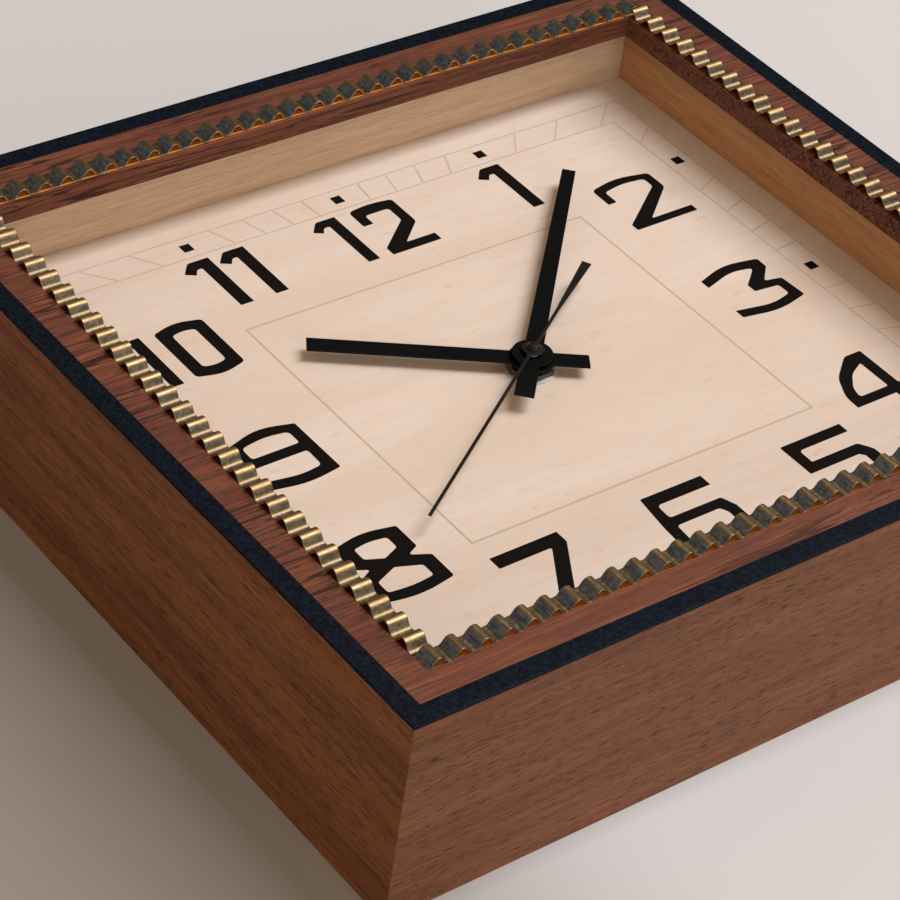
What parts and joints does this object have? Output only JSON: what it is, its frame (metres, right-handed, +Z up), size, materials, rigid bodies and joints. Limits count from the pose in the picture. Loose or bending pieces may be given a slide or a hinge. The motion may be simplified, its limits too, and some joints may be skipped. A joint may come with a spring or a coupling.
{
  "type": "desk clock",
  "caption": "Free-standing wooden desk clock: shallow rectangular box case, recessed pale dial under glass framed by corrugated brass ribbon, baton hands and a geared quartz movement.",
  "frame": {"origin": "centre of the clock's footprint, on the surface that it stands on", "axes": "+Z up towards twelve o'clock, +X to the right seen from the front, +Y from the dial towards the back"},
  "size_m": [0.225, 0.0554, 0.203],
  "materials": {
    "walnut": "satin oil",
    "walnut_veneer": "satin oil",
    "black_edging": "satin black",
    "aged_brass": "aged, lightly polished crests",
    "clear_glass": "polished",
    "maple": "matt",
    "dial_maple": "matt",
    "rail_wood": "sawn",
    "back_board": "matt",
    "steel": "zinc plated",
    "hand_black": "semi-matt black",
    "nickel": "nickel plated",
    "movement_plastic": "fine texture",
    "plate_plastic": "satin",
    "gear_plastic": "satin",
    "knob_plastic": "satin",
    "motor_casing": "satin",
    "circuit_board": "solder mask",
    "battery_wrap": "plain printed sleeve"
  },
  "bodies": {
    "case": {"back_panel": "back_board", "battery": "battery_wrap", "battery_contact_minus": "nickel", "battery_contact_plus": "nickel", "case_bottom": "walnut", "case_left": "walnut", "case_right": "walnut", "case_top": "walnut", "circuit_board": "circuit_board", "dial_board": "dial_maple", "edging_bottom": "black_edging", "edging_left": "black_edging", "edging_right": "black_edging", "edging_top": "black_edging", "front_frame": "walnut_veneer", "glass_pane": "clear_glass", "middle_plate": "plate_plastic", "motor_block": "motor_casing", "movement_cover": "movement_plastic", "movement_housing": "movement_plastic", "quartz_crystal": "steel", "rail_bottom": "rail_wood", "rail_left": "rail_wood", "rail_right": "rail_wood", "rail_top": "rail_wood", "ribbon_bottom": "aged_brass", "ribbon_left": "aged_brass", "ribbon_right": "aged_brass", "ribbon_top": "aged_brass", "shaft_nut": "nickel", "shaft_washer": "steel", "spacer_bottom": "maple", "spacer_left": "maple", "spacer_right": "maple", "spacer_top": "maple"},
    "minute_arbor": {"minute_hand": "hand_black", "minute_pinion": "gear_plastic"},
    "hour_arbor": {"hour_hand": "hand_black", "hour_wheel": "gear_plastic"},
    "minute_idler": {"minute_wheel": "gear_plastic", "setting_knob": "knob_plastic"},
    "second_arbor": {"second_hand": "hand_black", "second_wheel": "gear_plastic"},
    "third_arbor": {"third_wheel": "gear_plastic"},
    "centre_gear": {"centre_wheel": "gear_plastic"},
    "drive_arbor": {"drive_pinion": "gear_plastic"}
  },
  "joints": [
    {"name": "minute_turn", "type": "hinge", "parent": "case", "child": "minute_arbor", "pos_m": [0, -0.00274, 0.1015], "axis": [0, 1, 0], "continuous": true},
    {"name": "hour_turn", "type": "hinge", "parent": "case", "child": "hour_arbor", "pos_m": [0, -0.00274, 0.1015], "axis": [0, 1, 0], "continuous": true},
    {"name": "minute_idler_turn", "type": "hinge", "parent": "case", "child": "minute_idler", "pos_m": [-0.009, -0.00274, 0.1015], "axis": [0, 1, 0], "continuous": true},
    {"name": "second_turn", "type": "hinge", "parent": "case", "child": "second_arbor", "pos_m": [0, -0.00274, 0.1015], "axis": [0, 1, 0], "continuous": true},
    {"name": "third_turn", "type": "hinge", "parent": "case", "child": "third_arbor", "pos_m": [0, -0.00274, 0.1105], "axis": [0, 1, 0], "continuous": true},
    {"name": "centre_turn", "type": "hinge", "parent": "case", "child": "centre_gear", "pos_m": [0, -0.00274, 0.1015], "axis": [0, 1, 0], "continuous": true},
    {"name": "drive_turn", "type": "hinge", "parent": "case", "child": "drive_arbor", "pos_m": [0.0093, -0.00274, 0.1015], "axis": [0, 1, 0], "continuous": true}
  ],
  "couplings": [
    {"joint": "hour_turn", "follows": "minute_turn", "ratio": 0.083333},
    {"joint": "minute_idler_turn", "follows": "minute_turn", "ratio": -0.33333},
    {"joint": "third_turn", "follows": "second_turn", "ratio": -0.13333},
    {"joint": "centre_turn", "follows": "second_turn", "ratio": 0.016667},
    {"joint": "drive_turn", "follows": "second_turn", "ratio": -5}
  ]
}
